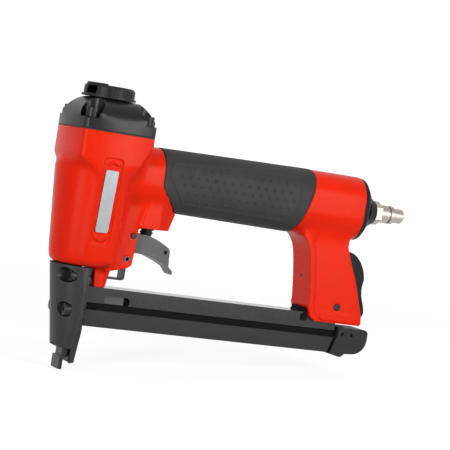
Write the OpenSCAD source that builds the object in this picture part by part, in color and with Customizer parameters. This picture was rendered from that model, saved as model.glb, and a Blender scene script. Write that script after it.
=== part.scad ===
// Pneumatic upholstery stapler with a contact safety and a slide-out magazine.
// Origin: on the drive axis, in the plane that the nose foot rests on.
// +X runs back to the air plug, +Y to the tool's far side, +Z up the drive axis.

/* [Drive] */
// Inside diameter of the cylinder
bore_d = 27; // [25:0.5:28]
// Travel of the piston and its blade
stroke = 46.5; // [44:0.5:47]
// Width of a staple over its legs
staple_w = 12.8; // [12.2:0.1:13]
// Thickness of the driver blade
blade_t = 1.0; // [0.8:0.05:1.1]

/* [Head and barrel] */
// Distance of the head's middle behind the drive axis
head_x = 4; // [3:0.5:5]
// Height of the joint between casting and cap
joint_z = 152.8; // [152:0.2:155]
// Height of the domed cap
cap_h = 20; // [19:0.5:22]
// Height of the barrel's lower end
barrel_z = 67; // [66.8:0.2:68]
// Radius of the exhaust deflector's flange
deflector_r = 17.4; // [16.5:0.1:18]

/* [Handle] */
// Height of the handle axis
handle_z = 127.5; // [127:0.5:129]
// Height of the handle section at the rear
handle_h = 43.5; // [42:0.5:45]
// Width of the handle section
handle_w = 35; // [34:0.5:37]
// Place of the handle's rear rim
handle_end = 191; // [189:0.5:196]
// Diameter of the air passage in the handle
passage_d = 22; // [18:0.5:23]

/* [Trigger] */
// Width of the trigger over its cheeks
trigger_w = 13; // [12.8:0.1:14]
// Diameter of the trigger's pivot pin
trigger_pin_d = 4; // [3.4:0.1:4.2]
// Diameter of the valve stem
stem_d = 3.2; // [2.6:0.1:3.6]

/* [Nose] */
// Half-width of the front plate
plate_half_w = 17.5; // [17.3:0.1:18]
// Lift of the contact foot
foot_lift = 4; // [3:0.5:4]
// Diameter of the nose screws
nose_screw_d = 4; // [3.6:0.1:4.1]

/* [Magazine] */
// Width of the magazine
rail_w = 18; // [17.8:0.1:18.6]
// Height of the rail's top face
rail_top = 54.5; // [54.2:0.1:55]
// Height of the feed slide's underside
slide_z = 29.2; // [28.6:0.1:29.6]
// Place of the rail's rear end
rail_end = 187; // [184:0.5:187]
// Diameter of the release lever's pin
lever_pin_d = 5; // [4.4:0.1:5.4]

/* [Hidden] */
$fn = 64;
// Play between sliding faces, and between a pin and its bore
play = 0.3;
fit = 0.03;

// Head and cap
gasket_t = 0.5;
body_top = joint_z - gasket_t;
sleeve_wall = 2.5;
chamber_r = bore_d / 2 + sleeve_wall + 4;
head_w = 2 * chamber_r + 13;
cap_pitch = head_w - 15.5;
barrel_top_r = head_w / 2 - 0.7;
barrel_low_r = barrel_top_r - 5.4;
head_bulge = 2.5;
head_corner = head_w / 2 - head_bulge;
head_side_r = (pow(head_corner, 2) + pow(head_bulge, 2)) / (2 * head_bulge);
head_low = 118;
barrel_slope = (barrel_top_r - barrel_low_r) / 68;
flank_low = barrel_low_r + 0.8;
flank_top_z = 138;
flank_z = barrel_z + 2.4;
flank_ease = flank_low + 15.6;
head_draw = 17;
badge_x = 1.9;
badge_z = 109.4;
badge_tilt = atan(barrel_slope);
badge_y = flank_low + (badge_z - barrel_z) * barrel_slope;
badge_depth = 1.1;
cap_top = joint_z + cap_h;
corner_r = head_corner * sqrt(2) - 1;
cap_round = cap_h - 4;
cap_screw_d = 5;
cap_screw_head = 8.5;
cap_screw_z = joint_z + 7;
deflector_x = head_x / 2;
deflector_z = cap_top + play;
deflector_h = 7.8;

// Cylinder, piston and blade
bore_r = bore_d / 2;
sleeve_r = bore_r + sleeve_wall;
sleeve_z = barrel_z + 9;
sleeve_top = joint_z - 2.3;
bumper_h = 10.3;
piston_z = sleeve_z + bumper_h + stroke + 0.8;
piston_h = 12.4;
staple_top = rail_top - 4.5;
blade_tip = staple_top + 1;
valve_r = bore_r + 0.9;
valve_z = sleeve_top + 0.5;
valve_h = 7;
slot_half = staple_w / 2 + 0.2;
blade_pin_r = 1.25;

// Handle
core_h = handle_h - 8;
core_w = handle_w - 6;
plug_z = handle_z - 0.6;
neck_h = handle_h - 3.5;
neck_w = handle_w - 0.6;
grip_front = [[41.3, 165], [41.3, 124], [44.9, 118.7], [50.2, 113.6], [64, 101]];
grip_rear = [for (p = [[-38, 165], [-38.4, 144], [-40.7, 133.6], [-43.1, 124.3], [-45.7, 114.6], [-50, 98]])
    [handle_end + p[0], p[1]]];

// Trigger group
pivot = [28.9, 89.8];
rocker_pivot = [55, 81.6];
rocker_boss_r = 1.7;
trigger_pin_r = trigger_pin_d / 2;
rocker_pin_r = 1.25;
cheek_in = trigger_w / 2 - 1.8;
web_w = 23.2;
slot_w = 13.4;
ear_out = slot_w - 2 * play;
stem_x = 42.2;
bush_r = 4.9;
boss_z = 95.5;
guide_pin = [26.9, 74.7];
guide_pin_r = 2;

// Nose
plate_top = 66.4;
plate_low = 14;
plate_back = -0.7;
plate_r = plate_half_w + 0.2;
plate_front_top = -18.8;
plate_tilt = atan(8.6 / (plate_top - plate_low));
guide_back = 4.5;
guide_low = 4.5;
strap_x = -2.6;
nose_seat = -6.6;
screw_well_r = 4.8;
flange_back = 1.6;
nose_screws_at = [for (s = [-1, 1]) for (p = [[12.1, 60.2], [11.4, 38.7]]) [s * p[0], p[1]]];

// Magazine
rail_low = 44.5;
rail_front = guide_back + 0.1;
rail_in = rail_w / 2 - 1.1;
slide_top = 39.8;
slide_in = rail_in - 1.1;
slide_wall = 0.55;
slide_end = rail_end + 0.5;
core_half = staple_w / 2 - 0.9;
core_top = staple_top - 1.5;
core_end = rail_end + 16;
block_pin_r = 1.2;
rod_z = 41;
rod_r = 1.5;
pusher_x = 5.4;
pusher_len = 26;
window = [17, 34.6];
window_z = 46.9;
window_r = 2.9;

// Rear leg and release lever
leg_w = 23;
leg_hole_r = 1.4;
leg_hole_z = 78;
leg_ahead = handle_end - 51;
leg_behind = handle_end + 29;
clip_rear = handle_end - 19.6;
clip_top = rail_top + 3;
lever_pivot = [handle_end - 6.1, 60.2];
lever_w = 16;

// A side outline given in X and Z, carried across the tool's width
module slab(w) {
    rotate([90, 0, 0]) linear_extrude(w, center = true) children();
}

// A block across the tool's middle plane
module block(x0, x1, w, z0, z1) {
    translate([x0, -w / 2, z0]) cube([x1 - x0, w, z1 - z0]);
}

// A round bar across the tool at a point of the side view
module across(p, r, w) {
    translate([p[0], 0, p[1]]) rotate([90, 0, 0]) cylinder(r = r, h = w, center = true);
}

// A round or tapered bar along the tool
module along(x0, x1, r, r2 = -1, y = 0, z = handle_z) {
    translate([x0, y, z]) rotate([0, 90, 0]) cylinder(r1 = r, r2 = r2 < 0 ? r : r2, h = x1 - x0);
}

// Two half rounds joined by straight sides, upright
module obround(w, h) {
    for (s = [-1, 1]) translate([0, s * (h - w) / 2]) circle(d = w);
    square([w, h - w], center = true);
}

// An upright obround bar along the tool at the handle axis
module obround_bar(w, h, x0, x1) {
    translate([x0, 0, handle_z]) rotate([90, 0, 90]) linear_extrude(x1 - x0) obround(w, h);
}

// A lying obround outline between two side-view places
module slot_outline(x0, x1, z, r) {
    translate([(x0 + x1) / 2, z]) rotate(90) obround(2 * r, x1 - x0);
}

// Plan of the head: four bulged sides with softened corners
module head_plan() {
    intersection() {
        for_sides() circle(r = head_side_r);
        circle(r = corner_r);
    }
}

// The outline shared by four discs set around the middle
module for_sides() {
    off = head_side_r - head_w / 2;
    intersection() {
        translate([off, 0]) children();
        translate([-off, 0]) children();
        translate([0, off]) children();
        translate([0, -off]) children();
    }
}

// A socket head screw pointing down, its head's underside at the origin
module socket_screw(d, head_d, head_h, len) {
    difference() {
        union() {
            cylinder(d = head_d, h = head_h);
            translate([0, 0, -len]) cylinder(d = d, h = len + 0.1);
        }
        translate([0, 0, head_h * 0.45]) cylinder(d = d * 0.85, h = head_h, $fn = 6);
    }
}

// Places of the four cap screws
module at_cap_screws() {
    for (sx = [-1, 1]) for (sy = [-1, 1])
        translate([head_x + sx * cap_pitch / 2, sy * cap_pitch / 2, 0]) children();
}

// Round drive barrel with an eased lower edge, closing to a cone inside the head
module barrel_shape() {
    translate([0, 0, barrel_z]) rotate_extrude() polygon([[0, 0], [barrel_low_r - 2, 0],
        [barrel_low_r + 2 * barrel_slope, 2], [barrel_low_r + 62 * barrel_slope, 62], [17, 78], [0, 78]]);
}

// Flat flanks beside the barrel that carry the badges, sweeping back and up into the head
module flank_shape() {
    flank_high = flank_low + (flank_top_z - barrel_z) * barrel_slope;
    intersection() {
        slab(80) polygon([[-20, flank_top_z], [-16, 132.6], [-10.2, 128.6], [-7.2, 124.5],
            [-7.6, flank_z], [14, flank_z], [17, 96], [19.3, 115.7], [22.3, 124.3], [26.2, flank_top_z]]);
        rotate([90, 0, 90]) translate([0, 0, -30]) linear_extrude(70) polygon([[-flank_low, barrel_z],
            [flank_low, barrel_z], [flank_high, flank_top_z], [-flank_high, flank_top_z]]);
        translate([head_x, 0, barrel_z]) linear_extrude(flank_top_z - barrel_z) head_plan();
        // Rear corners turned away at 45 degrees
        linear_extrude(flank_top_z)
            polygon([[-30, flank_ease + 30], [flank_ease, 0], [-30, -flank_ease - 30]]);
    }
}

// Head: its plan drawn up, eased underneath, with the rear corners cut away towards the handle
module head_shape() {
    intersection() {
        translate([head_x, 0, head_low]) linear_extrude(body_top - head_low) head_plan();
        translate([head_x, 0, head_low]) rotate_extrude()
            polygon([[0, 0], [17, 0], [corner_r + 3.5, 20], [corner_r + 3.5, 60], [0, 60]]);
        slab(80) polygon([[-40, head_low], [20, head_low], [25.4, 134.7], [27.8, 147], [40, 149.5],
            [40, 160], [-40, 160]]);
        // Rear corners that draw in towards the flanks below
        intersection_for (s = [-1, 1]) rotate(45 * s) slab(4 * head_w) polygon([[-2 * head_w, head_low],
            [(flank_ease + 1) / sqrt(2), head_low], [(flank_ease + head_draw) / sqrt(2), body_top],
            [-2 * head_w, body_top]]);
    }
}

// Points of the side view given from the handle's rear rim
function from_rim(points) = [for (p = points) [handle_end + p[0], p[1]]];

leg_front = from_rim([[-39.6, 111], [-35.6, 103], [-31.8, 85.5], [-29.2, 68], [-29, 59.5],
    [-26.4, 52.2], [-22.2, 49.4]]);

module leg_outline() {
    polygon(concat(leg_front, from_rim([[13.2, 49.4], [14.4, 51], [13.6, 56.6], [4.9, 80.2], [-1.6, 93.8],
        [-4.6, 101.5], [-4.4, 108], [-2, 113], [-5, 118], [-37, 118]])));
}

// Bead along the leg's front edge
module leg_bead() {
    upper = [for (i = [4:-1:1]) leg_front[i] + [3.8, 0.6]];
    toe = [for (i = [6, 5]) leg_front[i] + [2.6, 3]];
    polygon(concat(leg_front, toe, upper));
}

// Valve boss under the neck: its front and rear lean back and its sides close in towards the rear
module valve_boss() {
    under_grip = grip_front[3] + 0.56 * (grip_front[4] - grip_front[3]);
    intersection() {
        translate([0, 0, boss_z]) linear_extrude(20)
            polygon([[26, 13.4], [45, 13.4], [59, 5.2], [59, -5.2], [45, -13.4], [26, -13.4]]);
        slab(40) polygon([[31.6, boss_z], [36, boss_z + 17], [36, grip_front[2][1]], grip_front[2],
            grip_front[3], under_grip, [53.8, boss_z]]);
    }
}

// Foot between barrel and rail, narrower at the rear
module front_foot() {
    half = rail_w / 2;
    intersection() {
        slab(rail_w) polygon([[6.6, 70], [8.2, rail_top], [16.6, rail_top], [20.6, 70]]);
        linear_extrude(80) polygon([[6, half], [13.6, half], [20.6, half - 4.6], [20.6, 4.6 - half],
            [13.6, -half], [6, -half]]);
    }
}

module body() {
    color("#e0260c") difference() {
        union() {
            head_shape();
            barrel_shape();
            flank_shape();
            // Handle: neck, core under the grip, and full section behind the grip
            obround_bar(core_w, core_h, head_x, handle_end);
            intersection() {
                obround_bar(neck_w, neck_h, head_x, 70);
                slab(60) polygon(concat([[head_x, 165]], grip_front, [[head_x, 101]]));
            }
            intersection() {
                obround_bar(handle_w, handle_h, 130, handle_end);
                slab(60) polygon(concat(grip_rear, [[handle_end + 9, 98], [handle_end + 9, 165]]));
            }
            // Web with the trigger bracket's two cheeks
            slab(web_w) polygon([[4, 112], [4, 69], [14.6, 65], [28.3, 69], [30.9, 71.4], [31.8, boss_z],
                [35.7, 113], [30, 118]]);
            valve_boss();
            front_foot();
            // Rear leg with its bead and raised band
            slab(leg_w) leg_outline();
            slab(leg_w + 2) leg_bead();
            slab(leg_w + 1.4) slot_outline(handle_end - 18.6, handle_end + 11.6, 53.4, 2.8);
        }
        // Seat of the cylinder sleeve and the chamber round its top
        translate([0, 0, sleeve_z]) cylinder(r = sleeve_r + fit, h = 90);
        translate([0, 0, 131]) cylinder(r = chamber_r, h = 30);
        block(-2, 2, 2 * slot_half + 2, 60, sleeve_z + 1);
        // Air passage through the handle
        along(18.6, handle_end + 1, passage_d / 2);
        // Threaded holes of the cap screws
        at_cap_screws() translate([0, 0, body_top - 14]) cylinder(d = cap_screw_d + 2 * fit, h = 15);
        // Badge seats, each with a small raised mark left at its ends
        for (s = [-1, 1]) badge_place(s) translate([0, 0, -badge_depth])
            linear_extrude(9) difference() {
                rounded_plate(13, 54.6, 3);
                for (t = [0, 1]) mirror([0, t, 0]) translate([0, 22.4])
                    polygon([[-4, 0], [0, 2], [4, 0], [4, 1.2], [0, 3.2], [-4, 1.2]]);
            }
        // Slot for trigger, rocker and yoke
        block(23.4, 40, slot_w, 55, boss_z);
        across(pivot, trigger_pin_r + fit, 60);
        across(guide_pin, guide_pin_r + fit, 60);
        // Valve bore
        translate([stem_x, 0, boss_z - 1]) cylinder(r = bush_r + fit, h = 18);
        translate([stem_x, 0, boss_z]) cylinder(r = 3, h = handle_z - boss_z);
        // Slot in the front foot for the yoke's strap
        block(5, 22, 6.8, 50, 66.2);
        // Rail seat between the leg's cheeks, and the leg's hollow for the lever
        block(leg_ahead, leg_behind, rail_w + 0.1, 40, rail_top);
        block(leg_ahead, clip_rear, rail_w + 0.1, 50, clip_top + 0.1);
        slab(lever_w + 1) polygon(from_rim([[-17.5, 45], [-17.5, 62], [-24, 99.6], [24, 103], [24, 45]]));
        across(lever_pivot, lever_pin_d / 2 + fit, 60);
        along(handle_end - 41, handle_end - 11, leg_hole_r, z = leg_hole_z);
        // Screw holes for the rail
        rail_screw_places() cylinder(r = 1.5 + fit, h = 16);
    }
}

// Places of the screws that hold the rail to foot and leg, at the rail's ceiling
module rail_screw_places() {
    for (p = [[11.6, 6.1], [11.6, -6.1], [handle_end - 23.6, 0]])
        translate([p[0], p[1], staple_top + 0.5]) children();
}

// The badge's seat on one side: its own Z points away from the tool
module badge_place(s) {
    translate([badge_x, s * badge_y, badge_z]) rotate([-s * (badge_tilt + 90), 0, 0]) children();
}

module badge_plates() {
    color("#a8a8ac") for (s = [-1, 1]) badge_place(s) translate([0, 0, -badge_depth])
        linear_extrude(badge_depth - 0.2) rounded_plate(8.6, 39.3, 1.2);
}

// A plate with rounded corners
module rounded_plate(w, h, r) {
    square([w, h - 2 * r], center = true);
    square([w - 2 * r, h], center = true);
    for (sx = [-1, 1]) for (sy = [-1, 1]) translate([sx * (w / 2 - r), sy * (h / 2 - r)]) circle(r = r);
}

module cap_gasket() {
    color("#222222") translate([0, 0, body_top]) difference() {
        translate([head_x, 0, 0]) linear_extrude(gasket_t) head_plan();
        translate([0, 0, -1]) cylinder(r = chamber_r, h = 3);
        at_cap_screws() translate([0, 0, -1]) cylinder(d = cap_screw_d + 0.2, h = 3);
    }
}

// Outline of the cap as seen from any of its four sides
module cap_outline() {
    flat = head_w / 2 - cap_round;
    translate([-head_w / 2, 0]) square([head_w, cap_h - cap_round]);
    translate([-flat, 0]) square([2 * flat, cap_h]);
    for (s = [-1, 1]) translate([s * flat, cap_h - cap_round]) circle(r = cap_round);
}

// Cap vaulted from all four sides, so that ridges rise along its corners
module cap_shape() {
    translate([head_x, 0, joint_z]) intersection() {
        linear_extrude(cap_h) head_plan();
        slab(2 * head_w) cap_outline();
        rotate(90) slab(2 * head_w) cap_outline();
    }
    // Round seat of the deflector
    translate([deflector_x, 0, cap_top - 5]) cylinder(r = deflector_r - 0.8, h = 5);
}

module cylinder_cap() {
    color("#2b2c2e") difference() {
        cap_shape();
        // Pocket of the head valve and the exhaust ways above it
        translate([0, 0, joint_z - 1]) cylinder(r = valve_r + 0.1, h = 10.5);
        for (s = [-1, 1]) translate([deflector_x, s * 8, joint_z]) cylinder(r = 2.6, h = cap_h + 1);
        // Screw pockets that break out through the dome's flank
        at_cap_screws() {
            translate([0, 0, cap_screw_z]) cylinder(d = cap_screw_head + 5.4, h = 30);
            translate([0, 0, joint_z - 1]) cylinder(d = cap_screw_d + 0.2, h = 20);
        }
        translate([deflector_x, 0, cap_top - 7]) cylinder(r = 2 + fit, h = 8);
    }
}

module cap_screws() {
    color("#1c1c1e") at_cap_screws() translate([0, 0, cap_screw_z])
        socket_screw(cap_screw_d, cap_screw_head, 6, cap_screw_z - body_top + 12);
}

module exhaust_deflector() {
    ribs = 28;
    rim = deflector_r - 1.2;
    window_turn = 204;
    color("#242527") translate([deflector_x, 0, deflector_z]) difference() {
        union() {
            cylinder(r = deflector_r, h = 1.4);
            cylinder(r = rim, h = deflector_h - 1.6);
            translate([0, 0, deflector_h - 1.61]) cylinder(r1 = rim, r2 = rim - 1.4, h = 1.6);
            // Rounded hood over the exhaust window
            intersection() {
                rotate(window_turn) translate([rim - 7.4, -6.6, 0]) cube([10, 13.2, deflector_h + 0.9]);
                translate([0, 0, -1]) cylinder(r1 = rim + 1.4, r2 = rim - 0.6, h = deflector_h + 2);
            }
        }
        // Gripping grooves round the rim, left out at the window
        for (i = [3:ribs - 3]) rotate(window_turn + i * 360 / ribs) translate([rim + 0.55, 0, 1.8])
            cylinder(r = 1.05, h = deflector_h);
        // Hollow underside, exhaust window and the screw's seat
        difference() {
            translate([0, 0, -1]) cylinder(r = rim - 3, h = 6.6);
            cylinder(r = 4.4, h = 8);
        }
        rotate(window_turn) translate([6, -4.2, 1.6]) cube([20, 8.4, 5]);
        translate([0, 0, -1]) cylinder(r = 2 + 0.1, h = 20);
        translate([0, 0, deflector_h - 2.6]) cylinder(r = 4.2, h = 10);
    }
}

module deflector_screw() {
    color("#1c1c1e") translate([deflector_x, 0, deflector_z + deflector_h - 2.5])
        socket_screw(4, 7, 2.2, deflector_h + 3.5);
}

module cylinder_sleeve() {
    color("#b9bcc0") translate([0, 0, sleeve_z]) difference() {
        cylinder(r = sleeve_r, h = sleeve_top - sleeve_z);
        translate([0, 0, -1]) cylinder(r = bore_r, h = 100);
    }
}

module head_valve() {
    color("#3b3d40") difference() {
        translate([0, 0, valve_z]) cylinder(r = valve_r, h = valve_h);
        translate([0, 0, valve_z - 1]) cylinder(r = 4, h = valve_h - 1);
    }
}

module bumper() {
    color("#1a1a1a") difference() {
        translate([0, 0, sleeve_z]) cylinder(r = bore_r - fit, h = bumper_h);
        block(-1.2, 1.2, 2 * slot_half, sleeve_z - 1, sleeve_z + 20);
    }
}

module piston() {
    color("#9a9da1") difference() {
        translate([0, 0, piston_z]) cylinder(r = bore_r - 0.08, h = piston_h);
        translate([0, 0, piston_z + 7.4]) difference() {
            cylinder(r = bore_r + 1, h = 2.6);
            translate([0, 0, -1]) cylinder(r = bore_r - 2.2, h = 5);
        }
        block(-blade_t / 2 - fit, blade_t / 2 + fit, staple_w + 2 * fit, piston_z - 1, piston_z + 6);
        along(-bore_d, bore_d, blade_pin_r + fit, z = piston_z + 3);
    }
}

module piston_ring() {
    color("#141414") translate([0, 0, piston_z + 7.42]) difference() {
        cylinder(r = bore_r - 0.05, h = 2.56);
        translate([0, 0, -1]) cylinder(r = bore_r - 2.18, h = 5);
    }
}

module blade_pin() {
    color("#8d9094") along(-8, 8, blade_pin_r, z = piston_z + 3);
}

module driver_blade() {
    color("#8d9094") difference() {
        block(-blade_t / 2, blade_t / 2, staple_w, blade_tip, piston_z + 6);
        along(-bore_d, bore_d, blade_pin_r + fit, z = piston_z + 3);
    }
}

module rubber_grip() {
    color("#3d3e40") difference() {
        intersection() {
            hull() {
                obround_bar(handle_w - 0.6, handle_h - 3, 40, 40.1, $fn = 48);
                obround_bar(handle_w + 0.4, handle_h + 0.5, handle_end - 37, handle_end - 36.9, $fn = 48);
            }
            translate([0.2, 0, 0]) slab(60) polygon(concat(grip_front,
                [for (i = [len(grip_rear) - 1:-1:0]) grip_rear[i] - [0.4, 0]]));
        }
        obround_bar(core_w, core_h, 30, handle_end);
    }
}

// An obround along the tool that tapers from one width to another, its two centres staying put
module tapered_obround(w0, w1, x0, x1) {
    rise = (handle_h - handle_w) / 2;
    for (s = [-1, 1]) along(x0, x1, w0 / 2, w1 / 2, z = handle_z + s * rise);
    translate([0, 0, handle_z - rise]) linear_extrude(2 * rise)
        polygon([[x0, -w0 / 2], [x1, -w1 / 2], [x1, w1 / 2], [x0, w0 / 2]]);
}

module handle_end_cap() {
    rim = handle_end + 0.05;
    wide = handle_w - 0.8;
    color("#26272a") difference() {
        union() {
            tapered_obround(wide, wide - 0.6, rim, rim + 3);
            tapered_obround(wide - 2.4, wide - 6.6, rim + 2.9, rim + 5.6);
            tapered_obround(wide - 6.6, wide - 15, rim + 5.5, rim + 8.8);
            along(rim + 8, rim + 12.4, 12, 9.8, z = plug_z);
            along(rim + 12.3, rim + 15, 9.2, 8.2, z = plug_z);
            along(rim - 9, rim + 1, passage_d / 2 - fit);
        }
        along(rim - 10, rim + 16, 6.5 + fit, z = plug_z);
    }
}

module air_plug() {
    seat = 15.2;
    nose_end = seat + 24;
    color("#c4beb4") translate([handle_end, 0, 0]) difference() {
        union() {
            along(seat - 12, seat + 0.5, 6.5, z = plug_z);
            translate([seat, 0, plug_z]) rotate([0, 90, 0]) cylinder(d = 14 / cos(30), h = 4.8, $fn = 6);
            along(seat + 4.7, seat + 11, 6.1, z = plug_z);
            along(seat + 10.9, seat + 13, 5.4, z = plug_z);
            along(seat + 12.9, seat + 15.6, 6.2, z = plug_z);
            along(seat + 15.5, nose_end - 1, 5, z = plug_z);
            along(nose_end - 1.01, nose_end, 5, 4.3, z = plug_z);
        }
        along(seat - 13, nose_end + 1, 3, z = plug_z);
        translate([seat + 14.2, 0, plug_z - 8]) cylinder(r = 0.9, h = 6);
    }
}

// Side outline of the trigger's cheeks
module trigger_outline() {
    polygon([[33, 91], [39.3, 91.2], [43, 90.6], [46.8, 89.4], [50.7, 87.8], [54.7, 85.8], [57, 84.4],
        [57.9, 82.9], [58.2, 80.4], [58.1, 75.6], [52.9, 77], [42.5, 79.6], [33, 80.2]]);
}

// Finger plate under the cheeks, standing a little wider than they do
module finger_plate() {
    polygon([[33, 81.2], [37.9, 81.1], [42.5, 80.4], [48.1, 79.2], [52.9, 78.1], [58.1, 77], [58.3, 73.6],
        [57.6, 72.3], [54.7, 73.8], [49.8, 75.7], [45, 77.3], [38.9, 78.6], [33, 78.8]]);
}

// Narrow tail that hooks back from the finger plate
module trigger_tail() {
    polygon([[54.7, 75.5], [58.1, 75.2], [58.7, 73.4], [60.2, 71.9], [61.8, 70.6], [62.8, 69.5], [62.9, 68.4],
        [62.1, 67.6], [61, 68], [59.2, 70.2], [57.4, 72.2], [54.7, 73.8]]);
}

module trigger() {
    color("#65686c") difference() {
        union() {
            slab(trigger_w) trigger_outline();
            slab(trigger_w + 1.2) finger_plate();
            slab(trigger_w - 4) trigger_tail();
            // Ears that reach forward to the pivot
            slab(ear_out) polygon([pivot + [0, 3.6], [34, 91], [34, 82], [31.6, 84.4], pivot + [-1, -3.4]]);
            across(pivot, 3.6, ear_out);
        }
        // Channel for the rocker and the valve
        slab(2 * cheek_in) polygon([[35.4, 98], [57, 98], [57, 79.4], [52, 79.6], [44, 80.3], [35.4, 80.5]]);
        slab(8.4) polygon([[20, 98], [36, 98], [36, 80.5], [20, 80.7]]);
        across(pivot, trigger_pin_r + fit, 60);
        across(rocker_pivot, rocker_pin_r + fit, 60);
    }
}

module trigger_pin() {
    color("#4a4c50") across(pivot, trigger_pin_r, web_w + 0.8);
}

module trigger_rocker() {
    color("#8b8e92") difference() {
        union() {
            across(rocker_pivot, rocker_boss_r, 2 * cheek_in - 0.8);
            slab(6) polygon([[28.7, 81], [28.7, 82.3], [36, 83], rocker_pivot + [0, rocker_boss_r],
                rocker_pivot + [0, -0.9]]);
        }
        across(rocker_pivot, rocker_pin_r + fit, 60);
    }
}

module rocker_pin() {
    color("#4a4c50") across(rocker_pivot, rocker_pin_r, trigger_w - 0.4);
}

module valve_bush() {
    color("#1d1e20") translate([stem_x, 0, 0]) difference() {
        union() {
            translate([0, 0, boss_z + 0.2]) cylinder(r = bush_r, h = 15);
            translate([0, 0, boss_z - 5]) cylinder(r = 3.7, h = 6);
            translate([0, 0, boss_z - 1.2]) cylinder(r = bush_r, h = 1.1);
            translate([0, 0, boss_z - 3.6]) cylinder(r = cheek_in - 0.4, h = 1.2);
        }
        translate([0, 0, boss_z - 6]) cylinder(r = stem_d / 2 + 0.05, h = 30);
    }
}

module valve_stem() {
    color("#b5b7ba") translate([stem_x, 0, 85.8]) cylinder(d = stem_d, h = 19);
}

module contact_yoke() {
    fork_y = 7.65;
    strap_top = 61.4;
    bend = [28.8, strap_top + 0.6];
    color("#3a3836") {
        // Foot, neck and front strap
        block(-6.2, -3.6, 12.6, 0, 8.4);
        block(-4.8, -0.8, 10.8, 7.6, 14.2);
        block(strap_x, -0.8, 13, 14, 59.5);
        // Fork round the driver guide and bar behind it
        for (s = [-1, 1]) translate([0, s * fork_y, 0]) block(strap_x, 6.2, 1.5, 57.5, 59.5);
        block(strap_x, -0.8, 16.8, 57.5, 59.5);
        block(4.8, 6.2, 16.8, 57.5, 59.5);
        block(4.8, 6.2, 6, 57.5, strap_top);
        // Strap back through the foot and up into the bracket
        slab(6) polygon(concat([[6.1, strap_top], [6.1, strap_top - 1.4]],
            [for (a = [-90:15:0]) [bend[0] + 2 * cos(a), bend[1] + 2 * sin(a)]],
            [[bend[0] + 2, 80.2], [29.2, 80.2], [29.2, 68], [28, 68], [28, strap_top]]));
    }
}

module guide_pin_tube() {
    color("#9b9da0") difference() {
        across(guide_pin, guide_pin_r, web_w + 0.4);
        across(guide_pin, guide_pin_r - 0.8, 30);
    }
}

// Body of the front plate: a tilted round front cut to the plate's width and back face
module front_plate_shape() {
    intersection() {
        translate([plate_front_top + plate_r, 0, plate_top]) rotate([0, -plate_tilt, 0])
            translate([0, 0, -70]) cylinder(r = plate_r, h = 90);
        rotate([90, 0, 90]) translate([0, 0, -30]) linear_extrude(60)
            for (t = [0, 1]) mirror([t, 0]) polygon([[-1, plate_top], [plate_half_w, plate_top],
                [plate_half_w, 40], [plate_half_w - 3.2, 25.5], [9.2, plate_low], [-1, plate_low]]);
        slab(60) polygon([[-30, plate_top], [plate_back, plate_top], [plate_back, plate_low],
            [-8.6, plate_low], [-30, 40]]);
    }
}

module front_plate() {
    color("#2f3032") difference() {
        front_plate_shape();
        // Way for the yoke's strap, neck and fork
        block(strap_x - 0.2, 1, 13.4, 10, 80);
        block(-5, 1, 11.2, 10, plate_low + foot_lift + 1);
        block(strap_x - 0.2, 1, 17.2, 57.5 - play, 80);
        // Screw holes and the wells of their heads
        for (p = nose_screws_at) {
            along(-30, 5, nose_screw_d / 2 + fit, y = p[0], z = p[1]);
            along(-30, nose_seat, screw_well_r, y = p[0], z = p[1]);
        }
    }
}

module nose_screws() {
    color("#1c1c1e") for (p = nose_screws_at) translate([nose_seat, p[0], p[1]]) rotate([0, -90, 0])
        socket_screw(nose_screw_d, 8, 4.2, flange_back - nose_seat - 0.2);
}

module driver_guide() {
    color("#26272a") difference() {
        union() {
            block(-0.6, guide_back, 20.8, 34, plate_top - 0.4);
            block(-0.6, flange_back, 2 * plate_half_w - 5.4, 34, plate_top - 0.4);
            slab(17.6) polygon([[-0.2, guide_low], [2.8, guide_low + 0.6], [5, 26], [guide_back, 36],
                [-0.2, 36]]);
        }
        // Blade way, staple gate, and notches for the yoke's fork
        block(-2, 0.65, 2 * slot_half, 0, 80);
        block(-2, 10, 2 * slot_half, 31.5, staple_top + 0.4);
        for (s = [-1, 1]) translate([0, s * 7.65, 0]) block(-2, 10, 2, 57.5 - play, 80);
        block(-2, 0.65, 17.3, 57.5 - play, 80);
        for (p = nose_screws_at) along(-2, 12, nose_screw_d / 2 + fit, y = p[0], z = p[1]);
    }
}

module magazine_rail() {
    color("#2c2d2f") difference() {
        block(rail_front, rail_end, rail_w, rail_low, rail_top);
        block(0, rail_end + 1, 2 * rail_in, rail_low - 1, staple_top + 0.5);
        slab(60) slot_outline(window[0], window[1], window_z, window_r);
        rail_screw_places() {
            translate([0, 0, -1]) cylinder(r = 1.5 + fit, h = 10);
            translate([0, 0, -0.01]) cylinder(r1 = 2.8, r2 = 1.5, h = 1.3);
        }
    }
}

module rail_screws() {
    color("#77797c") rail_screw_places() {
        translate([0, 0, 0.05]) cylinder(r1 = 2.7, r2 = 1.45, h = 1.25);
        translate([0, 0, 1]) cylinder(r = 1.5, h = 12);
    }
}

// Saddle between rail and leg, with a cheek on each side in front of the leg
module rail_clip() {
    cheek = [handle_end - 31.2, handle_end - 27.2];
    color("#1e1f21") difference() {
        union() {
            block(cheek[0], cheek[1], rail_w + 2.2, 48.8, 53.4);
            block(cheek[1] - 2.4, cheek[1] - 0.8, rail_w + 2.2, 53.3, rail_top + 1);
            block(cheek[1] - 2.4, clip_rear - 0.1, rail_w - 0.2, rail_top - 1, clip_top);
        }
        block(cheek[0] - 1, clip_rear, rail_w + 0.04, 40, rail_top + 0.02);
        rail_screw_places() cylinder(r = 1.5 + fit, h = 16);
    }
}

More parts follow.
